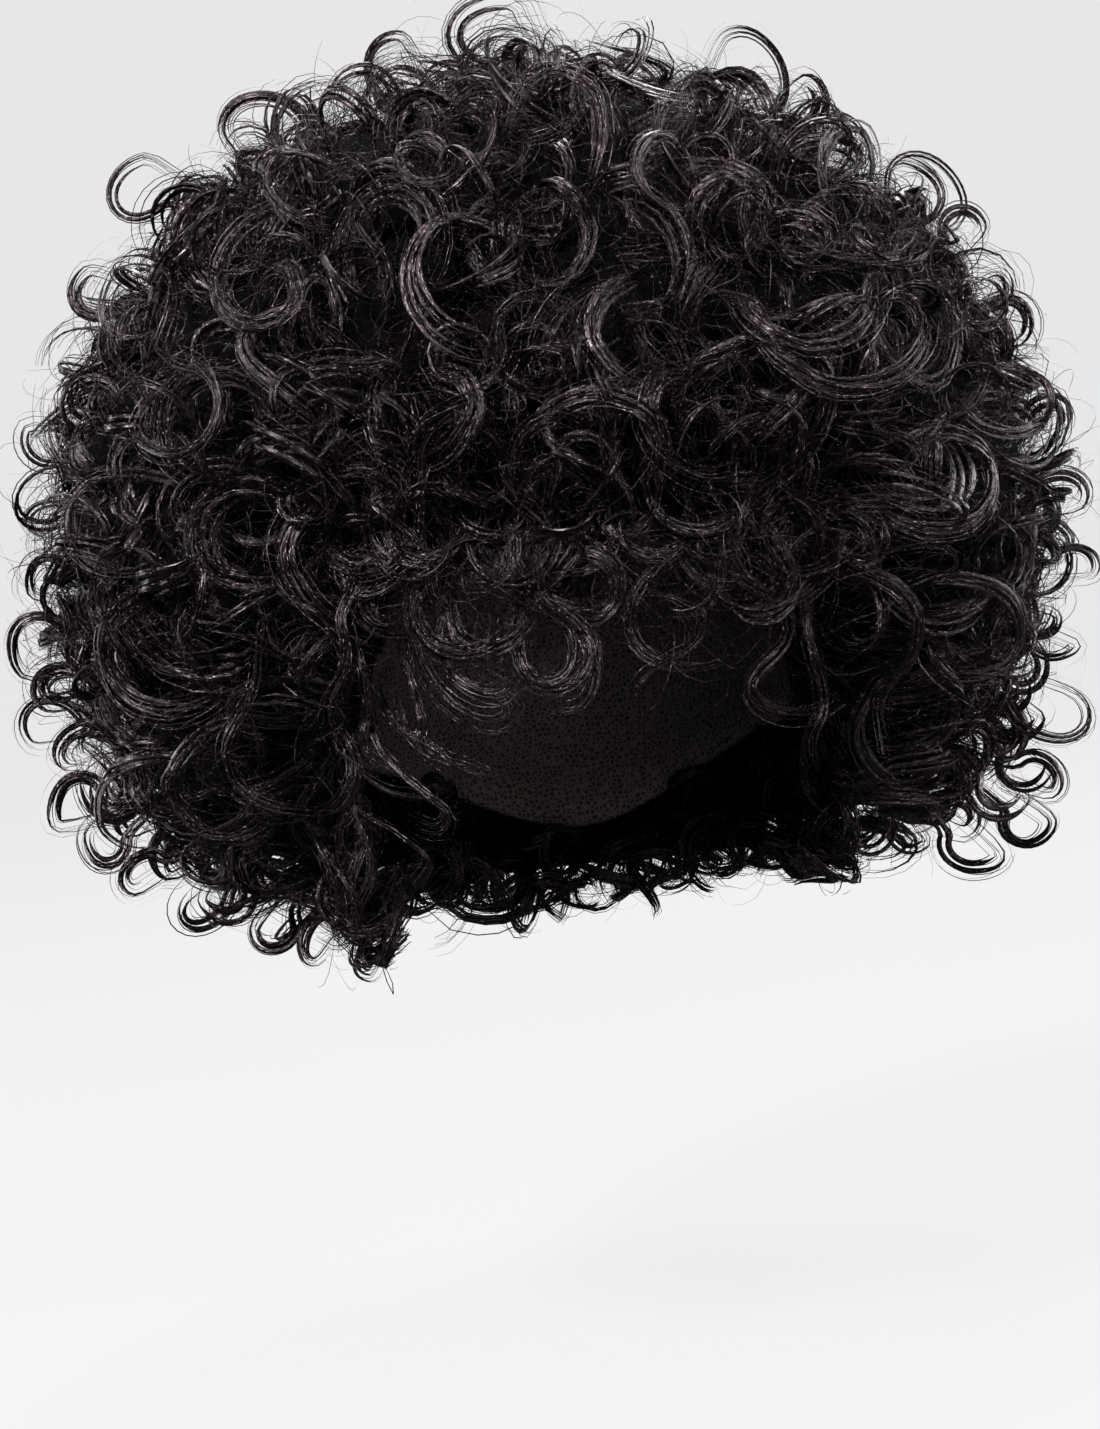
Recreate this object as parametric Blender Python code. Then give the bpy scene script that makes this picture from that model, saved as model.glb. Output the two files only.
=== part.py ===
import math

import bmesh
import bpy
from mathutils import Matrix, Vector

# A curly afro wig as it is worn: a thin cap, and the hair sewn to it in sections.
# Metres, +Z up, the face looks along -Y. The origin is the inside of the cap's crown,
# where the top of the head sits. Left and right are the wearer's.

# The head that the wig fits
HEAD_WIDTH = 0.150
HEAD_LENGTH = 0.188
CROWN_TO_WIDEST = 0.100
NECK_WIDTH = 0.122
NECK_LENGTH = 0.132
WIDEST_TO_NECK = 0.078

# The cap
CAP_WALL = 0.0016
CAP_CELLS = 14
# Where the cap's rim runs: degrees round from the face, and degrees down from straight up
CAP_RIM = (
    {"round": 0, "down": 84},
    {"round": 40, "down": 95},
    {"round": 66, "down": 119},
    {"round": 90, "down": 111},
    {"round": 120, "down": 129},
    {"round": 180, "down": 142},
)

# The hair, measured from its middle
MIDDLE_BELOW_CROWN = 0.057
MIDDLE_BEHIND_CROWN = 0.008
REACH_SIDE = 0.149
REACH_FRONT = 0.130
REACH_BACK = 0.134
REACH_UP = 0.148
REACH_DOWN = 0.126
FACE_HOLLOW = 0.065
RELIEF = 0.0035
RELIEF_WAVES_ROUND = 9
RELIEF_WAVES_DOWN = 6
HAIR_TO_CAP = 0.0015
HAIR_LEAST = 0.009
EDGE_ROUNDING = 14
EDGE_SHARE = 0.55
SECTION_GAP = 0.0010

# A curl that stands out of the hair is a flattened ring, sunk in it by about a third
CURL_RADIUS = 0.0132
CURL_SIZES = (1.0, 0.8, 0.9)
CURL_THICKNESS = 0.0042
CURL_FLATNESS = 1.6
CURL_LIFT = 0.0030
CURL_SPACING = 0.049
CURL_COVER = 0.003
CURL_TURN = 137.5
FREE_EDGE_MARGIN = 0.35
RING_STEPS = 9
RING_SIDES = 4

# The curls that hang from the fringe over the forehead: degrees round from the face
# (the wearer's left is +), shares of FRINGE_DROP and FRINGE_HOOK, and the way it hooks
FRINGE_DROP = 0.030
FRINGE_HOOK = 0.0120
FRINGE_LOCK = 0.0050
FRINGE_OFF_FOREHEAD = 0.010
FRINGE_ROOT = 0.012
FRINGE_ROOT_LIFT = 0.007
FRINGE_HOOK_TURN = 300
FRINGE_HOOK_STEPS = 8
FRINGE_HOOK_LIFT = 0.006
FRINGE_ROOT_WIDER = 1.25
FRINGE_TIP_WIDER = 0.65
FRINGE_CURLS = (
    {"round": -25, "drop": 1.20, "hook": 0.95, "way": 1},
    {"round": -13, "drop": 1.00, "hook": 0.85, "way": 1},
    {"round": 2, "drop": 1.10, "hook": 1.00, "way": -1},
    {"round": 9, "drop": 0.80, "hook": 0.80, "way": 1},
    {"round": 20, "drop": 1.05, "hook": 1.00, "way": -1},
    {"round": 31, "drop": 1.30, "hook": 0.90, "way": -1},
)

# The sections of hair below the crown's: degrees round from the face and degrees down.
# A free edge hangs, and curls may stand past it. Beside the face the hair's front edge
# slants back on its way down, by "slant" degrees at its low and high ends round.
CROWN_EDGE = 50
FACE_RIGHT = -32
FACE_LEFT = 39
FACE_SLANT_RIGHT = 26
FACE_SLANT_LEFT = 36
SLANT_FROM = 92
SIDE_TO_BACK = 124
FRINGE_EDGE = 82
SIDE_EDGE = 142
BACK_EDGE = 96
NAPE_EDGE = 146
SECTIONS = (
    {
        "name": "fringe_curls",
        "round": (FACE_RIGHT, FACE_LEFT),
        "down": (CROWN_EDGE, FRINGE_EDGE),
        "slant": (0, 0),
        "free": True,
    },
    {
        "name": "left_side_curls",
        "round": (FACE_LEFT, SIDE_TO_BACK),
        "down": (CROWN_EDGE, SIDE_EDGE),
        "slant": (FACE_SLANT_LEFT, 0),
        "free": True,
    },
    {
        "name": "right_side_curls",
        "round": (-SIDE_TO_BACK, FACE_RIGHT),
        "down": (CROWN_EDGE, SIDE_EDGE),
        "slant": (0, -FACE_SLANT_RIGHT),
        "free": True,
    },
    {
        "name": "back_curls",
        "round": (SIDE_TO_BACK, 360 - SIDE_TO_BACK),
        "down": (CROWN_EDGE, BACK_EDGE),
        "slant": (0, 0),
        "free": False,
    },
    {
        "name": "nape_curls",
        "round": (SIDE_TO_BACK, 360 - SIDE_TO_BACK),
        "down": (BACK_EDGE, NAPE_EDGE),
        "slant": (0, 0),
        "free": True,
    },
)
SECTION_CELL = 10.5
CROWN_CELLS = 9

MIDDLE = Vector((0, MIDDLE_BEHIND_CROWN, -MIDDLE_BELOW_CROWN))


def clear_scene():
    for leftover in list(bpy.data.objects):
        bpy.data.objects.remove(leftover)


def new_collection(name):
    made = bpy.data.collections.new(name)
    bpy.context.scene.collection.children.link(made)
    return made


def new_material(name, colour, roughness):
    material = bpy.data.materials.new(name)
    material.use_nodes = True
    shader = material.node_tree.nodes["Principled BSDF"]
    shader.inputs["Base Color"].default_value = (*colour, 1)
    shader.inputs["Roughness"].default_value = roughness
    shader.inputs["Metallic"].default_value = 0
    return material


def direction(round_deg, down_deg):
    """A unit vector, from degrees round from the face and degrees down from straight up."""
    around, down = math.radians(round_deg), math.radians(down_deg)
    return Vector((math.sin(down) * math.sin(around), -math.sin(down) * math.cos(around), math.cos(down)))


def in_head(point, grown):
    """Whether a point is in the head's form, grown outwards by that much."""
    across, along = HEAD_WIDTH / 2, HEAD_LENGTH / 2
    above = point.z + CROWN_TO_WIDEST
    if above > 0:
        return (
            (point.x / (across + grown)) ** 2
            + (point.y / (along + grown)) ** 2
            + (above / (CROWN_TO_WIDEST + grown)) ** 2
        ) < 1
    share = (1 - math.cos(math.pi * min(1, -above / WIDEST_TO_NECK))) / 2
    across += share * (NECK_WIDTH / 2 - across)
    along += share * (NECK_LENGTH / 2 - along)
    return (point.x / (across + grown)) ** 2 + (point.y / (along + grown)) ** 2 < 1


def head_reach(way, grown):
    """How far the head's form, grown by that much, reaches from the hair's middle."""
    near, far = 0.0, 0.4
    for _ in range(40):
        half = (near + far) / 2
        if in_head(MIDDLE + way * half, grown):
            near = half
        else:
            far = half
    return near


def hair_reach(way):
    """How far the close hair reaches from its middle, without the curls that stand out of it."""
    along = REACH_FRONT if way.y < 0 else REACH_BACK
    upright = REACH_UP if way.z > 0 else REACH_DOWN
    reach = 1 / math.sqrt((way.x / REACH_SIDE) ** 2 + (way.y / along) ** 2 + (way.z / upright) ** 2)
    return reach - FACE_HOLLOW * max(0, -way.y) * max(0, -way.z)


def relief(round_deg, down_deg):
    """The close hair's waves, which fade out at the crown's middle."""
    around, down = math.radians(round_deg), math.radians(down_deg)
    waves = math.cos(RELIEF_WAVES_ROUND * around) * math.sin(RELIEF_WAVES_DOWN * down)
    return RELIEF * waves * math.sin(down)


def hair_inside(way):
    return head_reach(way, CAP_WALL + HAIR_TO_CAP)


def slant_share(down_deg):
    """How much of its slant a front edge has that far down: none by the fringe, all at the bottom."""
    share = min(1, max(0, (down_deg - SLANT_FROM) / (SIDE_EDGE - SLANT_FROM)))
    return share * share * (3 - 2 * share)


def free_edge_distance(round_deg, down_deg):
    """Degrees to the nearest edge where hair ends: under the fringe, beside the face, or at the bottom."""
    turned = (round_deg + 180) % 360 - 180
    above_fringe = FRINGE_EDGE - down_deg
    if FACE_RIGHT <= turned <= FACE_LEFT:
        return max(0, above_fringe)
    if turned > 0:
        from_face = turned - FACE_LEFT - FACE_SLANT_LEFT * slant_share(down_deg)
    else:
        from_face = FACE_RIGHT - FACE_SLANT_RIGHT * slant_share(down_deg) - turned
    from_face *= math.sin(math.radians(down_deg))
    bottom = SIDE_EDGE if abs(turned) < SIDE_TO_BACK else NAPE_EDGE
    return max(0, min(bottom - down_deg, math.hypot(from_face, max(0, above_fringe))))


def hair_outside(round_deg, down_deg):
    """How far the close hair reaches with its waves, rounded off towards the edges where hair ends."""
    way = direction(round_deg, down_deg)
    inside = hair_inside(way)
    depth = hair_reach(way) + relief(round_deg, down_deg) - inside
    short = 1 - min(1, free_edge_distance(round_deg, down_deg) / EDGE_ROUNDING)
    depth *= EDGE_SHARE + (1 - EDGE_SHARE) * math.sqrt(1 - short * short)
    return inside + max(HAIR_LEAST, depth)


def rim_down(round_deg):
    """The cap's rim at an angle round the head, by the table, eased between its rows."""
    turned = abs((round_deg + 180) % 360 - 180)
    for before, after in zip(CAP_RIM, CAP_RIM[1:]):
        if turned <= after["round"]:
            share = (turned - before["round"]) / (after["round"] - before["round"])
            eased = share * share * (3 - 2 * share)
            return before["down"] + eased * (after["down"] - before["down"])
    return CAP_RIM[-1]["down"]


def disc_angles(across, along):
    """Turns a square's point, -1 to 1 each way, into a disc's: degrees round, and the share of its radius."""
    if across == 0 and along == 0:
        return 0.0, 0.0
    if abs(across) > abs(along):
        turn = math.pi / 4 * along / across
        x, y = across * math.cos(turn), across * math.sin(turn)
    else:
        turn = math.pi / 4 * across / along
        x, y = along * math.sin(turn), along * math.cos(turn)
    return math.degrees(math.atan2(x, -y)), math.hypot(x, y)


def sheet_with_wall(name, columns, rows, outside, inside, material, collection):
    """A closed wall from a grid: outside and inside place a point of the unit square."""
    mesh = bmesh.new()
    bmesh.ops.create_grid(mesh, x_segments=columns, y_segments=rows, size=0.5)
    inner = list(mesh.verts)
    raised = bmesh.ops.extrude_face_region(mesh, geom=list(mesh.faces))["geom"]
    outer = [part for part in raised if isinstance(part, bmesh.types.BMVert)]
    for vert in outer:
        vert.co = outside(vert.co.x + 0.5, vert.co.y + 0.5)
    for vert in inner:
        vert.co = inside(vert.co.x + 0.5, vert.co.y + 0.5)
    bmesh.ops.recalc_face_normals(mesh, faces=mesh.faces)
    if mesh.calc_volume(signed=True) < 0:
        bmesh.ops.reverse_faces(mesh, faces=mesh.faces)
    data = bpy.data.meshes.new(name)
    mesh.to_mesh(data)
    mesh.free()
    data.shade_smooth()
    data.materials.append(material)
    made = bpy.data.objects.new(name, data)
    collection.objects.link(made)
    return made


def make_cap(material, collection):
    def place(across, along, grown):
        round_deg, share = disc_angles(2 * across - 1, 2 * along - 1)
        way = direction(round_deg, share * rim_down(round_deg))
        return MIDDLE + way * head_reach(way, grown)

    return sheet_with_wall(
        "wig_cap",
        CAP_CELLS,
        CAP_CELLS,
        lambda across, along: place(across, along, CAP_WALL),
        lambda across, along: place(across, along, 0),
        material,
        collection,
    )


def hair_base(name, angles, columns, rows, material, collection):
    """A section's hair, from just off the cap to the close hair's outside."""

    def outside(across, along):
        round_deg, down_deg = angles(across, along)
        return MIDDLE + direction(round_deg, down_deg) * hair_outside(round_deg, down_deg)

    def inside(across, along):
        way = direction(*angles(across, along))
        return MIDDLE + way * hair_inside(way)

    return sheet_with_wall(name, columns, rows, outside, inside, material, collection)


def gap_angle():
    """Half the gap between two sections, in degrees, at the head's side."""
    return math.degrees(SECTION_GAP / 2 / (HEAD_WIDTH / 2))


def curl_margin():
    """How far a standing curl's middle stays from the border with the next section, in degrees."""
    room = CURL_RADIUS + CURL_THICKNESS / 2 + SECTION_GAP
    return math.degrees(math.asin(room / (min(REACH_FRONT, REACH_BACK, REACH_UP) - CURL_RADIUS)))


def section_ends(row, down_deg):
    """The low and high ends of a section round the head, that far down."""
    share = slant_share(down_deg)
    return row["round"][0] + row["slant"][0] * share, row["round"][1] + row["slant"][1] * share


def curl_places(section):
    """Where the standing curls of a section go, in staggered rows: degrees round and down."""
    margin = curl_margin()
    top = section["down"][0] + margin
    bottom = section["down"][1] - margin * (FREE_EDGE_MARGIN if section["free"] else 1)
    row_step = math.degrees(CURL_SPACING / REACH_SIDE)
    rows = max(1, round((bottom - top) / row_step) + 1)
    for row in range(rows):
        down_deg = top + (bottom - top) * row / max(1, rows - 1)
        side_margin = margin / math.sin(math.radians(down_deg))
        low, high = section_ends(section, down_deg)
        start, stop = low + side_margin, high - side_margin
        length = math.radians(stop - start) * REACH_SIDE * math.sin(math.radians(down_deg))
        count = max(2, round(length / CURL_SPACING) + 1)
        stagger = 0.5 if row % 2 else 0.0
        for column in range(count - (row % 2)):
            yield start + (stop - start) * (column + stagger) / (count - 1), down_deg


def crown_places():
    """Where the crown's standing curls go: rings of them round the top."""
    edge = CROWN_EDGE - curl_margin()
    row_step = math.degrees(CURL_SPACING / REACH_UP)
    yield 0, 0
    rows = max(1, round(edge / row_step))
    for row in range(1, rows + 1):
        down_deg = edge * row / rows
        count = max(4, round(2 * math.pi * REACH_UP * math.sin(math.radians(down_deg)) / CURL_SPACING))
        for column in range(count):
            yield 360 * (column + 0.5 * (row % 2)) / count, down_deg


def standing_curl(name, ring_meshes, number, place, collection):
    """A ring on edge in the hair, stood further out where the hair is too thin to cover its foot."""
    round_deg, down_deg = place
    way = direction(round_deg, down_deg)
    covered = hair_inside(way) + CURL_COVER + CURL_THICKNESS / 2 + CURL_RADIUS
    distance = max(hair_outside(round_deg, down_deg) + CURL_LIFT, covered)
    level = Vector((math.cos(math.radians(round_deg)), math.sin(math.radians(round_deg)), 0))
    axle = Matrix.Rotation(math.radians(CURL_TURN * number), 3, way) @ level
    rotation = Matrix((way, axle.cross(way), axle)).transposed()
    made = bpy.data.objects.new(f"{name}_ring_{number}", ring_meshes[number % len(ring_meshes)])
    made.matrix_world = Matrix.Translation(MIDDLE + way * distance) @ rotation.to_4x4()
    made.hide_render = True
    made.display_type = "WIRE"
    collection.objects.link(made)


def make_ring_mesh(size):
    bpy.ops.mesh.primitive_torus_add(
        major_segments=RING_STEPS,
        minor_segments=RING_SIDES,
        major_radius=CURL_RADIUS * size,
        minor_radius=CURL_THICKNESS / 2,
        align="WORLD",
        location=(0, 0, 0),
    )
    torus = bpy.context.object
    mesh = torus.data
    mesh.name = "standing_curl"
    mesh.transform(Matrix.Diagonal((1, 1, CURL_FLATNESS, 1)))
    bpy.data.objects.remove(torus)
    return mesh


def fringe_route(row):
    """The line of a curl that hangs over the forehead and hooks round: down, then most of a turn."""
    drop, hook = FRINGE_DROP * row["drop"], FRINGE_HOOK * row["hook"]
    reach = head_reach(direction(row["round"], FRINGE_EDGE), 0) + FRINGE_OFF_FOREHEAD

    def place(aside, below, lift):
        """A point over the forehead: lengths along it, from where the curl leaves the fringe."""
        round_deg = row["round"] + row["way"] * math.degrees(aside / reach)
        way = direction(round_deg, FRINGE_EDGE + math.degrees(below / reach))
        return MIDDLE + way * (head_reach(way, 0) + FRINGE_OFF_FOREHEAD + lift)

    straight = drop - hook
    points = [place(0, -FRINGE_ROOT, FRINGE_ROOT_LIFT), place(0, 0, 0)]
    points += [place(0, straight / 2, 0), place(0, straight, 0)]
    for step in range(1, FRINGE_HOOK_STEPS + 1):
        share = step / FRINGE_HOOK_STEPS
        turned = math.radians(FRINGE_HOOK_TURN) * share
        aside, below = hook * (1 - math.cos(turned)), straight + hook * math.sin(turned)
        points.append(place(aside, below, FRINGE_HOOK_LIFT * share))
    return points


def fringe_curl(name, row, collection):
    """A hanging curl as a tube along its line, made a mesh so that it can be joined to the fringe."""
    curve = bpy.data.curves.new(name, "CURVE")
    curve.dimensions = "3D"
    curve.bevel_depth = FRINGE_LOCK / 2
    curve.bevel_resolution = 1
    curve.use_fill_caps = True
    points = fringe_route(row)
    spline = curve.splines.new("POLY")
    spline.points.add(len(points) - 1)
    for number, (target, point) in enumerate(zip(spline.points, points)):
        share = number / (len(points) - 1)
        target.co = (*point, 1)
        target.radius = FRINGE_ROOT_WIDER + (FRINGE_TIP_WIDER - FRINGE_ROOT_WIDER) * share
    guide = bpy.data.objects.new(name + "_line", curve)
    bpy.context.scene.collection.objects.link(guide)
    bpy.context.view_layer.update()
    graph = bpy.context.evaluated_depsgraph_get()
    data = bpy.data.meshes.new_from_object(guide.evaluated_get(graph))
    bpy.data.objects.remove(guide)
    mesh = bmesh.new()
    mesh.from_mesh(data)
    bmesh.ops.remove_doubles(mesh, verts=mesh.verts, dist=0.00001)
    bmesh.ops.recalc_face_normals(mesh, faces=mesh.faces)
    mesh.to_mesh(data)
    mesh.free()
    made = bpy.data.objects.new(name, data)
    made.hide_render = True
    made.display_type = "WIRE"
    collection.objects.link(made)


def fuse(hair, curls):
    """Joins every curl of a collection to the section's hair."""
    union = hair.modifiers.new("curls", "BOOLEAN")
    union.operation = "UNION"
    union.operand_type = "COLLECTION"
    union.collection = curls
    union.solver = "EXACT"


def make_crown(ring_meshes, material, collection, cutters):
    edge = CROWN_EDGE - gap_angle()

    def angles(across, along):
        round_deg, share = disc_angles(2 * across - 1, 2 * along - 1)
        return round_deg, share * edge

    hair = hair_base("crown_curls", angles, CROWN_CELLS, CROWN_CELLS, material, collection)
    curls = bpy.data.collections.new("crown_standing")
    cutters.children.link(curls)
    for number, place in enumerate(crown_places()):
        standing_curl("crown", ring_meshes, number, place, curls)
    fuse(hair, curls)


def make_section(row, ring_meshes, material, collection, cutters):
    gap = gap_angle()
    top, bottom = row["down"][0] + gap, row["down"][1] - gap

    def angles(across, along):
        down_deg = bottom + (top - bottom) * along
        low, high = section_ends(row, down_deg)
        return low + gap + (high - low - 2 * gap) * across, down_deg

    columns = max(3, round((row["round"][1] - row["round"][0]) / SECTION_CELL))
    rows = max(3, round((bottom - top) / SECTION_CELL))
    hair = hair_base(row["name"], angles, columns, rows, material, collection)
    curls = bpy.data.collections.new(row["name"] + "_standing")
    cutters.children.link(curls)
    for number, place in enumerate(curl_places(row)):
        standing_curl(row["name"], ring_meshes, number, place, curls)
    if row["name"] == "fringe_curls":
        for number, curl in enumerate(FRINGE_CURLS):
            fringe_curl(f"fringe_hanging_{number}", curl, curls)
    fuse(hair, curls)


def main():
    clear_scene()
    wig = new_collection("afro_wig")
    cutters = new_collection("curls_to_join")
    cap_cloth = new_material("cap_cloth", (0.030, 0.024, 0.023), 0.85)
    hair = new_material("hair", (0.013, 0.010, 0.011), 0.42)
    ring_meshes = [make_ring_mesh(size) for size in CURL_SIZES]
    make_cap(cap_cloth, wig)
    make_crown(ring_meshes, hair, wig, cutters)
    for row in SECTIONS:
        make_section(row, ring_meshes, hair, wig, cutters)


main()
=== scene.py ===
import math

import bpy
import numpy as np
from mathutils import Matrix, Vector


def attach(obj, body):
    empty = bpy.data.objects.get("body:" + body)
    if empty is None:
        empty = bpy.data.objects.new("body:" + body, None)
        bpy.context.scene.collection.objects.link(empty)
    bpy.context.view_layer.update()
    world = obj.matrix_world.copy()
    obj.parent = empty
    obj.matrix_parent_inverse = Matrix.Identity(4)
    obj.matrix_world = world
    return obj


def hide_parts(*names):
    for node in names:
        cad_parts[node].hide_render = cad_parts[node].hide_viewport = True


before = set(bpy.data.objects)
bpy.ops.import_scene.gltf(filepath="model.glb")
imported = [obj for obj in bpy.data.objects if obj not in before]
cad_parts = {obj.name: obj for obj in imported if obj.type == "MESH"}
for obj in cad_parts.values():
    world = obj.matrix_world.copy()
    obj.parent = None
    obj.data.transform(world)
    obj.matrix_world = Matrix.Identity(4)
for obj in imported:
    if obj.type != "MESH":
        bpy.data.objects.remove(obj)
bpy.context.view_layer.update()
print("frame loaded:", len(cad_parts), "nodes")

rng = np.random.default_rng(41)
anyTurn = (0, 2 * math.pi)
anyPhase = (0, 6.3)  # radians, about all round

# The shape of the close hair, the same as its solids have: metres, and degrees round from
# the face (the wearer's left is +) and down from straight up
hair = {
    "middle": (0.0, 0.008, -0.057),
    "headWidth": 0.150,
    "headLength": 0.188,
    "crownToWidest": 0.100,
    "neckWidth": 0.122,
    "neckLength": 0.132,
    "widestToNeck": 0.078,
    "offHead": 0.0031,  # where the hair starts, outside the cap
    "reachSide": 0.149,
    "reachFront": 0.130,
    "reachBack": 0.134,
    "reachUp": 0.148,
    "reachDown": 0.126,
    "faceHollow": 0.065,
    "relief": 0.0035,
    "reliefRound": 9,
    "reliefDown": 6,
    "least": 0.009,
    "edgeRounding": 14,
    "edgeShare": 0.55,
    "crownEdge": 50,
    "faceRight": -32,
    "faceLeft": 39,
    "slantRight": 26,
    "slantLeft": 36,
    "slantFrom": 92,
    "sideToBack": 124,
    "fringeEdge": 82,
    "sideEdge": 142,
    "backEdge": 96,
    "napeEdge": 146,
    "napeBlend": 20,  # the bottom edge goes over from the sides' to the nape's in this many degrees
    "fringeLowest": 100,  # curls in front of the face belong to the fringe down to here
    "farthest": 0.3,  # no reach of the head is longer
    "halvings": 22,
}
middle = np.array(hair["middle"])
sectionNames = ("crown", "fringe", "left_side", "right_side", "back", "nape")
sectionNumber = {name: number for number, name in enumerate(sectionNames)}


def between(limits, count):
    return rng.uniform(limits[0], limits[1], count)


def column(limits, count):  # the same, standing as a column
    return between(limits, count)[:, None]


def unit(vectors):
    return vectors / np.maximum(np.linalg.norm(vectors, axis=-1, keepdims=True), 1e-9)


def eased(share):
    share = np.clip(share, 0, 1)
    return share * share * (3 - 2 * share)


def wayAt(roundDeg, downDeg):  # a unit vector from the hair's middle
    around, down = np.radians(roundDeg), np.radians(downDeg)
    return np.stack((np.sin(down) * np.sin(around), -np.sin(down) * np.cos(around), np.cos(down)), -1)


def anglesOf(ways):
    roundDeg = np.degrees(np.arctan2(ways[..., 0], -ways[..., 1]))
    return roundDeg, np.degrees(np.arccos(np.clip(ways[..., 2], -1, 1)))


def headReach(ways, grown):  # how far the head's form reaches, by halving
    near = np.zeros(ways.shape[:-1])
    far = np.full(ways.shape[:-1], hair["farthest"])
    for _ in range(hair["halvings"]):
        half = (near + far) / 2
        points = middle + ways * half[..., None]
        above = points[..., 2] + hair["crownToWidest"]
        share = (1 - np.cos(math.pi * np.clip(-above / hair["widestToNeck"], 0, 1))) / 2
        across = hair["headWidth"] / 2 * (1 - share) + hair["neckWidth"] / 2 * share + grown
        along = hair["headLength"] / 2 * (1 - share) + hair["neckLength"] / 2 * share + grown
        upright = np.maximum(above, 0) / (hair["crownToWidest"] + grown)
        inside = (points[..., 0] / across) ** 2 + (points[..., 1] / along) ** 2 + upright**2 < 1
        near = np.where(inside, half, near)
        far = np.where(inside, far, half)
    return near


def slanted(downDeg):  # how much of its slant the face opening's edge has taken at a height
    return eased((downDeg - hair["slantFrom"]) / (hair["sideEdge"] - hair["slantFrom"]))


def edgeDistance(roundDeg, downDeg):  # degrees inside the nearest free edge; less than 0 is off the hair
    share = slanted(downDeg)
    pastLeft = roundDeg - hair["faceLeft"] - hair["slantLeft"] * share
    pastRight = hair["faceRight"] - hair["slantRight"] * share - roundDeg
    beside = np.maximum(pastLeft, pastRight) * np.sin(np.radians(downDeg))
    above = hair["fringeEdge"] - downDeg
    opening = np.where(above < 0, beside, np.where(beside < 0, above, np.hypot(beside, above)))
    opening = np.where((above < 0) & (beside < 0), np.maximum(above, beside), opening)
    toNape = eased((np.abs(roundDeg) - hair["sideToBack"]) / hair["napeBlend"])
    bottom = hair["sideEdge"] + (hair["napeEdge"] - hair["sideEdge"]) * toNape - downDeg
    return np.minimum(opening, bottom)


def hairInside(ways):
    return headReach(ways, hair["offHead"])


def hairOutside(ways):
    along = np.where(ways[..., 1] < 0, hair["reachFront"], hair["reachBack"])
    upright = np.where(ways[..., 2] > 0, hair["reachUp"], hair["reachDown"])
    ratios = np.stack((ways[..., 0] / hair["reachSide"], ways[..., 1] / along, ways[..., 2] / upright), -1)
    reach = 1 / np.linalg.norm(ratios, axis=-1)
    reach -= hair["faceHollow"] * np.maximum(0, -ways[..., 1]) * np.maximum(0, -ways[..., 2])
    roundDeg, downDeg = anglesOf(ways)
    down = np.radians(downDeg)
    waves = np.cos(hair["reliefRound"] * np.radians(roundDeg)) * np.sin(hair["reliefDown"] * down)
    inside = hairInside(ways)
    depth = reach + hair["relief"] * waves * np.sin(down) - inside
    share = np.clip(edgeDistance(roundDeg, downDeg) / hair["edgeRounding"], 0, 1)
    depth = depth * (hair["edgeShare"] + (1 - hair["edgeShare"]) * share * (2 - share))
    return inside + np.maximum(hair["least"], depth)


def sectionAt(roundDeg, downDeg):
    beside = np.where(roundDeg > 0, sectionNumber["left_side"], sectionNumber["right_side"])
    behind = np.where(downDeg < hair["backEdge"], sectionNumber["back"], sectionNumber["nape"])
    number = np.where(np.abs(roundDeg) > hair["sideToBack"], behind, beside)
    overFace = (roundDeg > hair["faceRight"]) & (roundDeg < hair["faceLeft"])
    number = np.where(overFace & (downDeg < hair["fringeLowest"]), sectionNumber["fringe"], number)
    return np.where(downDeg < hair["crownEdge"], sectionNumber["crown"], number)


def tangents(ways):  # level and downward unit vectors at each way
    level = unit(np.cross(ways, np.broadcast_to((0.0, 0.0, -1.0), ways.shape)) + 1e-9)
    return level, np.cross(ways, level) * -1


# The photograph's view: where it looks from, and how a pixel of it becomes a place
view = {
    "pixelsPerMetre": 3300,
    "frameWide": 1100,
    "frameHigh": 1429,
    "middlePixel": (552, 560),
    "distance": 1.0,
    "elevation": 4,
    "roll": 7,
    "clipStart": 0.05,
    "searchBefore": 0.16,  # a pixel's place is looked for from here before the hair's middle
    "searchBehind": 0.02,
    "searchSteps": 120,
    "deepest": 0.028,  # how far one drawn curl runs away from the camera
}
rise = math.radians(view["elevation"])
lean = math.radians(view["roll"])
viewForward = np.array((0, math.cos(rise), -math.sin(rise)))
viewUpright = np.array((0, math.sin(rise), math.cos(rise)))
viewRight = math.cos(lean) * np.array((1, 0, 0)) - math.sin(lean) * viewUpright
viewUp = math.sin(lean) * np.array((1, 0, 0)) + math.cos(lean) * viewUpright
offRight = (view["frameWide"] / 2 - view["middlePixel"][0]) / view["pixelsPerMetre"]
offUp = (view["middlePixel"][1] - view["frameHigh"] / 2) / view["pixelsPerMetre"]
viewAim = middle + offRight * viewRight + offUp * viewUp
viewFrom = viewAim - view["distance"] * viewForward


def addObject(name, data):
    added = bpy.data.objects.new(name, data)
    bpy.context.scene.collection.objects.link(added)
    return added


def makeCamera():
    camera = addObject("camera", bpy.data.cameras.new("camera"))
    frameMetres = view["frameHigh"] / view["pixelsPerMetre"]
    camera.data.lens = camera.data.sensor_width * view["distance"] / frameMetres
    camera.data.clip_start = view["clipStart"]
    axes = Matrix((viewRight, viewUp, -viewForward)).transposed()
    camera.matrix_world = Matrix.Translation(Vector(viewFrom)) @ axes.to_4x4()
    bpy.context.scene.camera = camera


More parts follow.
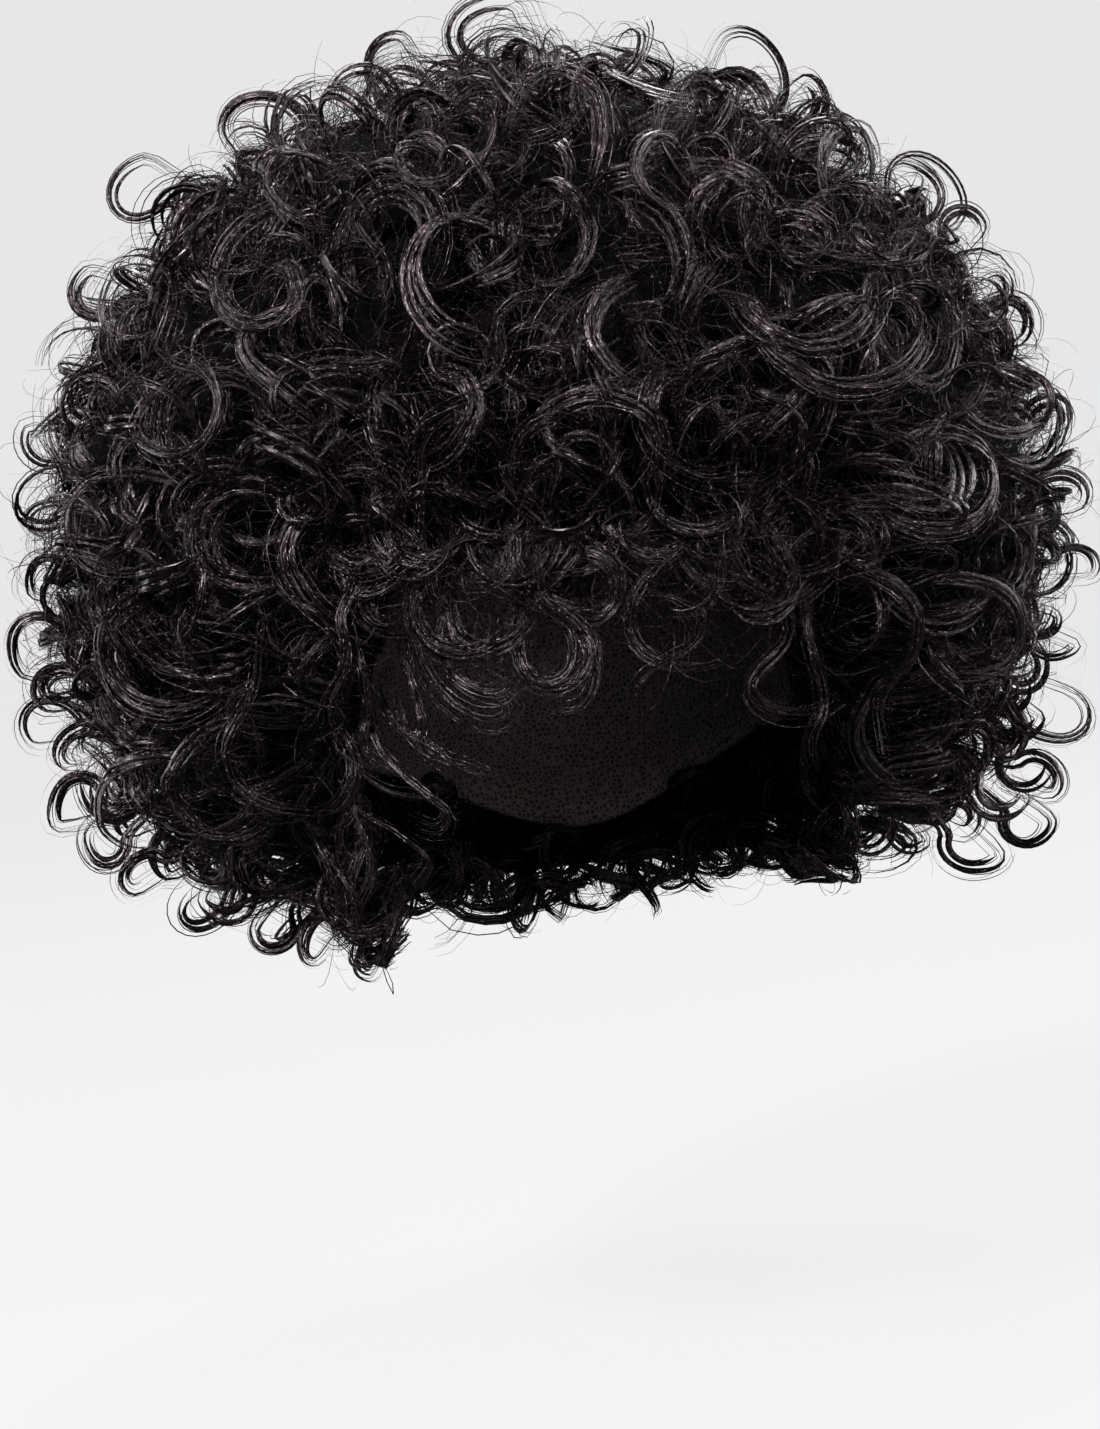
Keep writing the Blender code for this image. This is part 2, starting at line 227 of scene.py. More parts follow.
def pixelPlane(pixels):  # places in the upright plane through the hair's middle
    pixels = np.asarray(pixels, float)
    right = (pixels[..., 0] - view["frameWide"] / 2) / view["pixelsPerMetre"]
    up = (view["frameHigh"] / 2 - pixels[..., 1]) / view["pixelsPerMetre"]
    return viewAim + right[..., None] * viewRight + up[..., None] * viewUp


def pixelOnHair(pixels):  # each path's pixels as places on the close hair's outside, or standing off it
    toward = unit(pixelPlane(pixels) - viewFrom)
    first, last = view["distance"] - view["searchBefore"], view["distance"] + view["searchBehind"]
    steps = np.linspace(first, last, view["searchSteps"])
    points = viewFrom + toward[..., None, :] * steps[:, None]
    off = points - middle
    above = np.linalg.norm(off, axis=-1) - hairOutside(unit(off))
    hit = np.argmax(above < 0, axis=-1)
    nearest = np.argmin(above, axis=-1)
    far = steps[np.where((above < 0).any(axis=-1), hit, nearest)]
    far = np.minimum(far, far.min(axis=-1, keepdims=True) + view["deepest"])
    return viewFrom + toward * far[..., None]


# The UV map runs along each strand and round it, and each strand starts it anywhere
strandMap = {
    "perMetre": 100,
    "starts": (0, 50),
    "sides": 40,
    "ribbonWide": 0.08,
}


def pathAxes(centres, wide):  # each path's direction, and its wide side made square to it
    forward = unit(np.gradient(centres, axis=1))
    return forward, unit(wide - forward * np.sum(wide * forward, -1, keepdims=True))


def runAlong(centres):
    steps = np.linalg.norm(np.diff(centres, axis=1, prepend=centres[:, :1]), axis=-1)
    run = np.cumsum(steps, axis=1) * strandMap["perMetre"]
    return run + column(strandMap["starts"], len(centres))


def cornersOf(near, far, left, right):  # the UV places of each quad's four corners
    return np.stack((near, left, near, right, far, right, far, left), -1).reshape(-1, 8)


# Tubes and ribbons are made in batches whose paths have the same number of points: a batch is
# its vertices, and its faces with their UV places
def tubes(centres, wide, halfWide, halfThick, sides):
    count, points = centres.shape[:2]
    forward, wide = pathAxes(centres, wide)
    thick = np.cross(forward, wide)
    turn = np.arange(sides) / sides * 2 * math.pi
    across = (halfWide[..., None] * np.cos(turn))[..., None]
    through = (halfThick[..., None] * np.sin(turn))[..., None]
    verts = centres[:, :, None] + across * wide[:, :, None] + through * thick[:, :, None]
    corner = np.arange(count * points * sides).reshape(count, points, sides)
    after = np.roll(corner, -1, axis=2)
    quads = np.stack((corner[:, :-1], after[:, :-1], after[:, 1:], corner[:, 1:]), -1).reshape(-1, 4)
    caps = np.concatenate((corner[:, 0, ::-1], corner[:, -1]))
    run = runAlong(centres)
    side = np.arange(sides + 1) / sides + rng.integers(0, strandMap["sides"], (count, 1))
    near, left = np.broadcast_arrays(run[:, :-1, None], side[:, None, :-1])
    far, right = np.broadcast_arrays(run[:, 1:, None], side[:, None, 1:])
    uvs = cornersOf(near, far, left, right)
    return verts.reshape(-1, 3), ((quads, uvs), (caps, np.zeros((len(caps), sides * 2))))


def ribbons(centres, wide, halfWidth):  # the finest strands: flat, two triangles a step
    count, points = centres.shape[:2]
    aside = pathAxes(centres, wide)[1] * halfWidth[..., None]
    verts = np.stack((centres - aside, centres + aside), 2)
    corner = np.arange(count * points * 2).reshape(count, points, 2)
    near, far = corner[:, :-1], corner[:, 1:]
    quads = np.stack((near[..., 0], near[..., 1], far[..., 1], far[..., 0]), -1).reshape(-1, 4)
    run = runAlong(centres)
    left = np.broadcast_to(rng.uniform(0, strandMap["sides"], (count, 1)), run[:, 1:].shape)
    uvs = cornersOf(run[:, :-1], run[:, 1:], left, left + strandMap["ribbonWide"])
    return verts.reshape(-1, 3), ((quads, uvs),)


def meshFrom(name, strands, material):  # one mesh of many batches of tubes and ribbons
    verts = np.concatenate([batch[0] for batch in strands])
    corners, totals, uvs, first = [], [], [], 0
    for batchVerts, batchFaces in strands:
        for faces, places in batchFaces:
            corners.append((faces + first).ravel())
            totals.append(np.full(len(faces), faces.shape[1]))
            uvs.append(places.ravel())
        first += len(batchVerts)
    corners, totals = np.concatenate(corners), np.concatenate(totals)
    mesh = bpy.data.meshes.new(name)
    mesh.vertices.add(len(verts))
    mesh.vertices.foreach_set("co", verts.ravel())
    mesh.loops.add(len(corners))
    mesh.loops.foreach_set("vertex_index", corners)
    mesh.polygons.add(len(totals))
    mesh.polygons.foreach_set("loop_start", np.concatenate(((0,), np.cumsum(totals)[:-1])))
    mesh.uv_layers.new(name="strand").data.foreach_set("uv", np.concatenate(uvs))
    mesh.update(calc_edges=True)
    mesh.validate()
    mesh.shade_smooth()
    mesh.materials.append(material)
    return addObject(name, mesh)


belowNape = 2  # degrees: lower than this past the nape's edge, curls keep to the reach they have here


def aboveNeck(ways):  # the same ways, but none so low that the head runs on into the neck
    height = np.maximum(ways[..., 2], math.cos(math.radians(hair["napeEdge"] + belowNape)))
    level = np.sqrt(1 - height**2) / np.maximum(np.hypot(ways[..., 0], ways[..., 1]), 1e-6)
    return np.stack((ways[..., 0] * level, ways[..., 1] * level, height), -1)


def laidOver(surface, ways, local):  # local places (level, downward, outward) about ways, over a surface
    level, downward = tangents(ways)
    aside = local[..., :1] * level[:, None] + local[..., 1:2] * downward[:, None]
    bent = unit(ways[:, None] + aside / surface(ways)[:, None, None])
    return middle + bent * (surface(aboveNeck(bent)) + local[..., 2])[..., None]


def turnedTo(axes, local):  # local vectors, turned to each curl's own axes
    return np.einsum("nka,nab->nkb", local, axes)


def axesAt(ways):
    level, downward = tangents(ways)
    return np.stack((level, downward, ways), 1)


aslant = (0.31, 0.52, 0.79)  # only starts a curl's two side axes, so any way does


def curls(count, recipe):  # helices round an axis that leans off the local outward way, in local places
    share = np.linspace(0, 1, recipe["points"])
    tilt, heading = (np.radians(between(recipe[name], count)) for name in ("tilt", "heading"))
    axis = np.stack((np.sin(tilt) * np.cos(heading), np.sin(tilt) * np.sin(heading), np.cos(tilt)), -1)
    first = unit(np.cross(axis, aslant))
    second = np.cross(axis, first)
    growing = recipe["rootShare"] + (1 - recipe["rootShare"]) * eased(share * recipe["growth"])
    radius = column(recipe["radius"], count) * growing
    way = rng.choice((-1, 1), count) * between(recipe["turns"], count) * 2 * math.pi
    turned = column(anyTurn, count) + way[:, None] * share
    radial = np.cos(turned)[..., None] * first[:, None] + np.sin(turned)[..., None] * second[:, None]
    length = between(recipe["length"], count)
    low, high = between(recipe["rootHeight"], count), between(recipe["tipHeight"], count)
    path = axis[:, None] * (length[:, None] * (share - 0.5))[..., None] + radius[..., None] * radial
    path[..., 2] += low[:, None] + (high - low)[:, None] * share
    leanOut = np.radians(between(recipe["flat"], count))[:, None, None]
    return path, axis[:, None] * np.cos(leanOut) + radial * np.sin(leanOut)


def upTo(paths, ends):  # the same paths, each stopped at its own share of the way
    points = paths.shape[1]
    place = np.linspace(0, 1, points) * ends[:, None] * (points - 1)
    index = np.minimum(place.astype(int), points - 2)
    part = (place - index)[..., None]
    near = np.take_along_axis(paths, index[..., None], axis=1)
    far = np.take_along_axis(paths, index[..., None] + 1, axis=1)
    return near * (1 - part) + far * part


# How a lock is built beside its path. Places and widths are shares of its half width, and an
# entry in "Ends" is what is left of the width at the root and at the tip
lock = {
    "outermost": 0.62,
    "astray": (-0.16, 0.16),
    "wander": 0.22,
    "wanderTurns": (3, 9),  # radians along the lock
    "rootTogether": 0.75,
    "openBy": 4,  # bundles lie fully apart after one part in this many of the lock
    "deep": (-0.6, 0.6),
    "shortest": 0.84,  # share of the path that the shortest bundle has
    "sizes": (0.75, 1.2),
    "filling": 1.6,
    "thickness": 0.62,
    "bundleEnds": (0.12, 0.10),
    "strandEnds": (0.6, 0.3),
    "frizzEnds": (0.5, 0.3),
    "rootOver": 0.2,  # how much of the length a thin root and a fine tip take
    "tipOver": 0.4,
    "strandTurns": (-2.2, 2.2),  # radians that a loose strand winds round the path
    "strandSplay": 1.4,
    "strandDeep": 0.7,
}


def taper(points, ends):  # widths along a path, as shares
    share = np.linspace(0, 1, points)
    root, tip = ends
    rising = root + (1 - root) * eased(share / lock["rootOver"])
    falling = tip + (1 - tip) * eased((1 - share) / lock["tipOver"])
    return np.minimum(rising, falling)


def locks(centres, wide, halfWidth, recipe):  # each path's lock: bundles side by side with loose strands
    count, points = centres.shape[:2]
    bundles, splay = recipe["bundles"], recipe["splay"]
    share = np.linspace(0, 1, points)
    forward, wide = pathAxes(centres, wide)
    thick = np.cross(forward, wide)
    reach = halfWidth[:, None, None]
    together = lock["rootTogether"]
    apart = together + (1 - together) * eased(share * lock["openBy"]) + splay * share**3
    made = []
    for number in range(bundles):
        even = 0 if bundles == 1 else 2 * number / (bundles - 1) - 1
        spot = lock["outermost"] * even + column(lock["astray"], count)
        turned = share * column(lock["wanderTurns"], count) + column(anyPhase, count)
        across = (spot + lock["wander"] * np.sin(turned)) * apart
        deep = recipe["flatness"] * column(lock["deep"], count)
        deep = deep * (1 + splay * share**2)
        path = centres + reach * (across[..., None] * wide + deep[..., None] * thick)
        ends = rng.uniform(lock["shortest"], 1.0, count)
        size = halfWidth[:, None] * column(lock["sizes"], count)
        size = size * lock["filling"] / (bundles + 0.5) * taper(points, lock["bundleEnds"])
        thickness = size * lock["thickness"]
        made.append(tubes(upTo(path, ends), upTo(wide, ends), size, thickness, recipe["sides"]))
    for _ in range(recipe["strands"]):
        drift = column(anyTurn, count) + column(lock["strandTurns"], count) * share
        loose = column(recipe["loose"], count) * (1 + splay * lock["strandSplay"] * share**2)
        off = np.cos(drift)[..., None] * wide + lock["strandDeep"] * np.sin(drift)[..., None] * thick
        thin = column(recipe["strandRadius"], count) * taper(points, lock["strandEnds"])
        made.append(ribbons(centres + reach * loose[..., None] * off, wide + off, thin))
    return made


# What each kind of curl is made from: metres, degrees, and turns of its helix. The margin is how
# many degrees inside the free edges its root stays
ringRecipe = {
    "count": 400,
    "margin": 1.5,
    "points": 20,
    "tilt": (0, 60),  # of the curl's axis off the outward way
    "heading": (0, 360),  # of that tilt: 90 is downwards
    "radius": (0.0075, 0.0130),
    "rootShare": 0.55,
    "growth": 1.5,  # the radius is full after 1 / growth of the curl
    "turns": (1.0, 1.7),
    "length": (0.004, 0.015),
    "rootHeight": (-0.014, -0.006),
    "tipHeight": (-0.003, 0.006),
    "flat": (10, 70),
    "width": (0.0034, 0.0060),
    "flatness": 0.5,
    "bundles": 4,
    "sides": 3,
    "strands": 6,
    "loose": (0.3, 1.5),
    "splay": 0.55,
    "strandRadius": (0.00012, 0.00022),
}
archRecipe = dict(
    ringRecipe, count=190, margin=3, points=17, tilt=(0, 30), radius=(0.014, 0.021), rootShare=0.8,
    turns=(0.5, 0.9), length=(0.002, 0.010), rootHeight=(-0.009, -0.003), tipHeight=(-0.004, 0.004),
    flat=(35, 85), width=(0.0060, 0.0095), bundles=5,
)
waveRecipe = dict(
    ringRecipe, count=215, margin=3, tilt=(68, 100), radius=(0.0050, 0.0085), rootShare=0.8,
    turns=(1.0, 1.9), length=(0.030, 0.055), rootHeight=(-0.007, -0.002), tipHeight=(-0.006, 0.004),
    flat=(20, 80), width=(0.0045, 0.0080),
)
loopRecipe = dict(
    ringRecipe, count=150, margin=2, tilt=(70, 110), radius=(0.0065, 0.0115), rootShare=0.9,
    turns=(0.8, 1.3), length=(0.002, 0.014), rootHeight=(0.000, 0.004), tipHeight=(0.001, 0.007),
    flat=(0, 50), width=(0.0022, 0.0040), bundles=2, strands=4, loose=(0.6, 3.5), splay=0.9,
)
frizzRecipe = {
    "count": 12400,
    "margin": -1,
    "points": 9,
    "tilt": (0, 180),
    "heading": (0, 360),
    "radius": (0.004, 0.013),
    "rootShare": 0.7,
    "growth": 1.5,
    "turns": (0.3, 0.8),
    "length": (0.0, 0.012),
    "rootHeight": (-0.009, 0.001),
    "tipHeight": (-0.005, 0.004),
    "flat": (0, 90),
    "strandRadius": (0.00010, 0.00020),
}
hazeRecipe = dict(
    frizzRecipe, count=2650, margin=0, points=13, radius=(0.006, 0.014), rootHeight=(-0.004, 0.006),
    tipHeight=(0.000, 0.014), strandRadius=(0.00005, 0.00010),
)
batches = {name: {"locks": [], "frizz": []} for name in sectionNames}


def handOut(kind, sections, maker):  # hand each section its own curls
    for number, name in enumerate(sectionNames):
        chosen = sections == number
        if chosen.any():
            batches[name][kind] += maker(chosen)


def handOutLocks(centres, wide, sections, half, recipe):
    handOut("locks", sections, lambda chosen: locks(centres[chosen], wide[chosen], half[chosen], recipe))


def addLocks(recipe, centres, wide, sections):
    handOutLocks(centres, wide, sections, between(recipe["width"], len(centres)) / 2, recipe)


def addStrands(recipe, centres, wide, sections):
    thin = column(recipe["strandRadius"], len(centres)) * taper(recipe["points"], lock["frizzEnds"])
    handOut("frizz", sections, lambda chosen: [ribbons(centres[chosen], wide[chosen], thin[chosen])])


stray = 0.9  # how far an evenly spread curl leaves its place, as a share of the spacing


def spread(recipe):  # evenly spread ways over the hair, and the section of each
    number = np.arange(recipe["count"])
    height = 1 - (2 * number + 1) / recipe["count"]
    turn = number * math.pi * (3 - math.sqrt(5))
    level = np.sqrt(1 - height**2)
    ways = np.stack((level * np.cos(turn), level * np.sin(turn), height), -1)
    ways = unit(ways + rng.normal(0, stray / math.sqrt(recipe["count"]), ways.shape))
    roundDeg, downDeg = anglesOf(ways)
    kept = edgeDistance(roundDeg, downDeg) > recipe["margin"]
    return ways[kept], sectionAt(roundDeg[kept], downDeg[kept])


def laidOn(recipe, placing=spread, surface=hairOutside):  # a recipe's curls over a surface
    ways, sections = placing(recipe)
    local, wide = curls(len(ways), recipe)
    return laidOver(surface, ways, local), turnedTo(axesAt(ways), wide), sections


edgeRecipe = dict(
    ringRecipe, points=18, tilt=(0, 70), radius=(0.0070, 0.0120), turns=(0.8, 1.5),
    length=(0.004, 0.014), rootHeight=(-0.010, -0.002), tipHeight=(-0.001, 0.007),
    width=(0.0028, 0.0052),
)
edgeFrizz = dict(frizzRecipe, points=14, rootHeight=(-0.004, 0.002), tipHeight=(-0.002, 0.005))
# How the face opening's edge slants on the way up: shares of its slant, and degrees down
slantCorners = ((1, hair["sideEdge"]), (0.72, 125), (0.22, 106), (0, hair["fringeEdge"]))
rightCorners = [(hair["faceRight"] - hair["slantRight"] * share, down) for share, down in slantCorners]
leftCorners = [(hair["faceLeft"] + hair["slantLeft"] * share, down) for share, down in slantCorners]
# The free edges: their corners as (round, down) from end to end, and which side of them is free
faceEdge = {
    "corners": rightCorners + leftCorners[::-1],
    "side": 1,
    "locks": 62,
    "lockDepths": (0.05, 1.0),
    "strands": 400,
}
bottomEdge = {
    "corners": [
        leftCorners[0],
        (hair["sideToBack"], hair["sideEdge"]),
        (180, hair["napeEdge"]),
        (360 - hair["sideToBack"], hair["sideEdge"]),
        (360 + rightCorners[0][0], hair["sideEdge"]),
    ],
    "side": -1,
    "locks": 80,
    "lockDepths": (0.1, 1.0),
    "strands": 460,
}
edgeForm = {
    "fine": 400,  # steps that measure an edge's length
    "within": (0.1, 0.9),  # a curl's place in its own share of the edge
    "insideBy": 0.03,
    "deepest": 0.95,
    "strandDepths": (0.0, 1.0),
}


def alongEdge(edge, count):  # ways evenly along an edge, and the way off it at each
    corners = edge["corners"]
    fine = np.linspace(0, len(corners) - 1, edgeForm["fine"])
    roundDeg, downDeg = (np.interp(fine, np.arange(len(corners)), column) for column in np.transpose(corners))
    ways = wayAt(roundDeg, downDeg)
    run = np.cumsum(np.linalg.norm(np.diff(ways, axis=0, prepend=ways[:1]), axis=1))
    shares = (np.arange(count) + between(edgeForm["within"], count)) / count
    index = np.searchsorted(run, shares * run[-1])
    off = unit(np.cross(np.gradient(ways, axis=0), ways)) * edge["side"]
    return ways[index], off[index], sectionAt((roundDeg[index] + 180) % 360 - 180, downDeg[index] - 1)


def standingOff(recipe, edge, count, depths):  # curls that stand off an edge, over its whole depth
    ways, off, sections = alongEdge(edge, count)
    ways = unit(ways - off * edgeForm["insideBy"])
    inside, outside = hairInside(ways), hairOutside(ways)
    reach = inside + (outside - inside) * between(depths, count) * edgeForm["deepest"]
    places = middle + ways * reach[:, None]
    axes = np.stack((np.cross(off, ways), ways, off), 1)
    local, wide = curls(count, recipe)
    return places[:, None] + turnedTo(axes, local), turnedTo(axes, wide), sections


# Curls that the photograph shows one by one, in its pixels. A ring is x, y, radius, start and
# sweep in degrees (0 is right, 90 up) and width; a wave is its width and the places it goes through
frontRings = (
    (277, 305, 38, 150, -400, 15), (435, 179, 28, 60, 330, 12), (196, 417, 45, 100, 360, 15),
    (491, 291, 68, 60, 210, 22), (196, 630, 68, 110, 200, 20), (918, 490, 46, 200, 300, 14),
    (669, 193, 38, 20, 280, 13), (795, 298, 60, 170, 200, 18), (830, 316, 82, 180, 170, 16),
    (845, 190, 40, 10, 230, 13), (560, 150, 46, 330, 210, 16), (330, 200, 44, 80, 200, 14),
    (150, 520, 52, 60, 240, 14), (940, 620, 50, 130, -260, 14), (880, 720, 46, 50, 280, 13),
    (250, 760, 54, 100, 230, 16), (170, 790, 44, 30, 270, 13), (980, 400, 44, 90, -250, 13),
    (700, 420, 60, 100, 190, 18),
)
frontWaves = (
    (15, (317, 298), (267, 337), (260, 368), (302, 403), (337, 428)),
    (20, (414, 371), (470, 380), (490, 420), (456, 466), (420, 470)),
    (20, (640, 270), (600, 310), (585, 350), (610, 385), (650, 395)),
    (18, (520, 430), (570, 400), (630, 410), (660, 450), (640, 500)),
    (16, (750, 380), (790, 420), (780, 470), (730, 500)),
    (16, (380, 560), (350, 600), (370, 650), (340, 700), (360, 740)),
    (14, (250, 640), (270, 690), (240, 740), (280, 790), (330, 800)),
    (14, (860, 560), (900, 590), (890, 650), (850, 680), (870, 740)),
)
fringeRings = (
    (579, 582, 40, 160, -330, 10), (368, 520, 48, 140, 330, 15), (470, 600, 48, 60, 300, 13),
    (690, 480, 50, 120, 250, 12), (430, 520, 44, 20, -260, 13),
)
fringeWaves = (
    (11, (500, 520), (514, 568), (545, 598), (582, 622), (596, 650), (578, 680), (548, 690), (520, 672)),
    (9, (522, 575), (520, 610), (518, 645), (530, 670), (553, 678), (572, 660), (570, 628), (548, 609)),
    (12, (418, 560), (416, 610), (424, 655), (452, 695), (495, 716), (516, 704), (505, 686), (470, 672)),
    (10, (446, 600), (440, 640), (462, 676), (500, 690), (515, 676), (490, 660)),
    (14, (449, 590), (457, 632), (487, 649), (520, 636), (540, 600)),
    (18, (330, 470), (298, 520), (292, 561), (319, 599), (353, 630), (385, 655)),
    (9, (720, 520), (694, 548), (645, 572), (623, 610), (634, 645), (668, 656), (702, 655), (716, 648)),
    (10, (742, 500), (734, 534), (734, 566), (760, 592), (785, 616), (774, 645), (745, 666), (737, 684),
     (757, 703), (795, 711), (830, 690)),
    (8, (760, 500), (775, 545), (784, 575), (772, 600), (745, 590), (709, 561)),
    (5, (690, 560), (700, 600), (695, 640), (660, 655), (638, 672), (632, 690), (644, 708)),
    (6, (600, 560), (640, 590), (680, 600), (720, 640)),
    (8, (660, 520), (672, 560), (700, 590), (735, 585)),
    (8, (355, 680), (380, 740), (420, 775), (455, 800), (445, 825), (410, 815)),
    (7, (340, 740), (360, 800), (385, 850), (370, 890), (345, 905)),
    (8, (390, 700), (420, 740), (470, 755), (495, 775)),
    (10, (820, 600), (800, 640), (815, 690), (800, 735), (812, 760)),
    (6, (560, 600), (600, 640), (590, 700), (545, 712)),
    (7, (300, 690), (340, 740), (390, 780), (440, 790), (455, 770)),
    (6, (320, 760), (360, 800), (410, 820), (440, 850), (420, 880)),
    (8, (280, 780), (330, 830), (352, 880), (330, 920)),
    (6, (370, 690), (395, 720), (440, 735), (470, 765), (500, 770)),
    (6, (350, 640), (380, 690), (370, 740), (400, 770)),
    (7, (300, 830), (350, 860), (370, 900), (350, 940), (320, 930)),
    (5, (400, 660), (430, 700), (425, 745), (450, 760)),
    (9, (310, 700), (350, 720), (370, 760), (350, 800), (310, 810)),
)
# Loops that stand out of the outline or fill it out: x, y, radius and width
outlineLoops = (
    (147, 189, 32, 6), (202, 196, 25, 12), (102, 281, 33, 12), (267, 140, 42, 10), (396, 61, 38, 8),
    (509, 46, 45, 10), (365, 116, 39, 8), (48, 431, 36, 6), (47, 518, 26, 5), (45, 588, 30, 7),
    (46, 653, 35, 7), (53, 730, 32, 6), (78, 810, 34, 9), (112, 838, 24, 8), (200, 905, 26, 9),
    (277, 926, 23, 9), (326, 933, 26, 9), (375, 962, 18, 7), (743, 82, 45, 5), (690, 124, 56, 7),
    (792, 109, 32, 12), (838, 140, 28, 6), (900, 197, 35, 6), (932, 190, 40, 4), (967, 231, 28, 8),
    (1009, 323, 27, 9), (1052, 420, 26, 9), (1058, 497, 28, 8), (1070, 567, 27, 6), (1041, 617, 26, 8),
    (1052, 641, 24, 6), (1043, 706, 44, 6), (1020, 765, 28, 8), (1030, 822, 30, 8), (971, 845, 30, 9),
    (936, 800, 26, 8), (911, 824, 26, 8), (868, 822, 24, 8), (590, 100, 34, 9), (445, 95, 34, 9),
    (120, 360, 30, 9), (75, 500, 26, 8), (980, 290, 28, 8), (240, 200, 30, 9), (150, 870, 24, 8),
    (1000, 788, 30, 13), (988, 738, 32, 13), (1012, 716, 28, 11), (958, 818, 27, 13), (928, 772, 30, 13),
    (1032, 776, 22, 10), (112, 788, 30, 13), (142, 822, 28, 13), (182, 858, 28, 13), (226, 888, 26, 12),
    (92, 748, 28, 12), (140, 770, 30, 13), (1020, 660, 28, 11), (1000, 690, 26, 12), (70, 690, 28, 11),
)
drawnRecipe = {
    "points": 26,
    "lifts": (-0.003, 0.008, 0.010, 0.007),  # off the close hair's outside, evenly from root to tip
    "lean": (-0.6, 0.6),  # radians
    "ringStart": 0.82,  # share of its radius that a ring starts with
    "bolder": 1,  # a share of the widths as drawn
    "flatness": 0.5,
    "bundles": 4,
    "sides": 4,
    "strands": 8,
    "loose": (0.5, 1.7),
    "splay": 0.35,
    "strandRadius": (0.00012, 0.00022),
}
fringeRecipe = dict(
    drawnRecipe, lifts=(-0.004, 0.004, 0.006, 0.003), bolder=1.2, strands=7, loose=(0.6, 2.2),
    splay=0.4,
)
outlineRecipe = dict(
    drawnRecipe, points=24, bolder=1.3, bundles=2, sides=3, strands=7, loose=(0.5, 2.4), splay=0.3,
)


def smooth(places, points):  # an even path through the places, its corners cut three times
    path = np.array(places, float)
    for _ in range(3):
        near, far = path[:-1], path[1:]
        cut = np.stack((0.75 * near + 0.25 * far, 0.25 * near + 0.75 * far), 1).reshape(-1, path.shape[1])
        path = np.concatenate((path[:1], cut, path[-1:]))
    run = np.cumsum(np.linalg.norm(np.diff(path, axis=0, prepend=path[:1]), axis=1))
    spots = np.linspace(0, run[-1], points)
    return np.stack([np.interp(spots, run, column) for column in path.T], -1)


def ringPixels(ring, recipe):
    x, y, radius, start, sweep = ring[:5]
    share = np.linspace(0, 1, recipe["points"])
    turned = np.radians(start + sweep * share)
    reach = radius * (recipe["ringStart"] + (1 - recipe["ringStart"]) * eased(share * 2))
    return np.stack((x + reach * np.cos(turned), y - reach * np.sin(turned)), -1)


def addDrawn(rings, waves, recipe):  # curls laid on the hair as the photograph has them
    points, lifts = recipe["points"], recipe["lifts"]
    pixels = [ringPixels(ring, recipe) for ring in rings] + [smooth(wave[1:], points) for wave in waves]
    widths = np.array([ring[5] for ring in rings] + [wave[0] for wave in waves]) * recipe["bolder"]
    centres = pixelOnHair(np.array(pixels))
    ways = unit(centres - middle)
    lift = np.interp(np.linspace(0, 1, points), np.linspace(0, 1, len(lifts)), lifts)
    centres = centres + ways * lift[:, None]
    forward = unit(np.gradient(centres, axis=1))
    leanOut = between(recipe["lean"], len(centres))[:, None, None]
    wide = np.cross(forward, ways) * np.cos(leanOut) + ways * np.sin(leanOut)
    sections = sectionAt(*anglesOf(ways[:, 0]))
    handOutLocks(centres, wide, sections, widths / view["pixelsPerMetre"] / 2, recipe)


# The form of an outline loop: metres, and shares of its radius
loopForm = {
    "beyond": (-0.018, 0.012),  # its middle's place before and behind the hair's middle
    "tilt": (-0.7, 0.7),  # radians
    "opening": (15, 60),  # degrees
    "sweep": (265, 345),
    "swell": 0.10,
    "tipReach": 0.8,
    "rootOver": 0.16,  # share of the loop that bends down into the hair at either end
    "tipTail": 0.8,
    "tail": (0.006, 0.014),
    "tall": (0.85, 1.0),
    "wide": (0.78, 1.1),
    "twist": 0.006,
}


def addOutlineLoops(recipe):  # open rings that stand up from the hair's edge in the photograph's view
    loops = np.array(outlineLoops, float)
    count = len(loops)
    middles = pixelPlane(loops[:, :2]) + column(loopForm["beyond"], count) * viewForward
    radius = loops[:, 2] / view["pixelsPerMetre"]
    outward = middles - middle
    outward = unit(outward - viewForward * (outward @ viewForward)[:, None])
    tilt = column(loopForm["tilt"], count)
    aside = np.cross(viewForward, outward) * np.cos(tilt) + viewForward * np.sin(tilt)
    share = np.linspace(0, 1, recipe["points"])
    way = rng.choice((-1, 1), count)[:, None]
    opening = column(loopForm["opening"], count)
    turned = np.radians(180 + opening - column(loopForm["sweep"], count) * share)
    swell = 1 + loopForm["swell"] * np.sin(2 * turned + column(anyPhase, count))
    reach = radius[:, None] * swell * np.interp(share, (0.5, 1), (1, loopForm["tipReach"]))
    over = loopForm["rootOver"]
    ends = 1 - eased(share / over) + loopForm["tipTail"] * eased((share - (1 - over)) / over)
    tail = (radius + between(loopForm["tail"], count))[:, None] * ends
    along = reach * np.cos(turned) * column(loopForm["tall"], count) - tail
    beside = way * reach * np.sin(turned) * column(loopForm["wide"], count)
    centres = middles[:, None] + along[..., None] * outward[:, None] + beside[..., None] * aside[:, None]
    twist = (share * loopForm["twist"])[:, None] * viewForward
    centres = centres + twist * rng.choice((-1, 1), count)[:, None, None]
    wide = np.cross(unit(np.gradient(centres, axis=1)), np.cross(outward, aside)[:, None])
    half = loops[:, 3] * recipe["bolder"] / view["pixelsPerMetre"] / 2
    handOutLocks(centres, wide, sectionAt(*anglesOf(unit(middles - middle))), half, recipe)


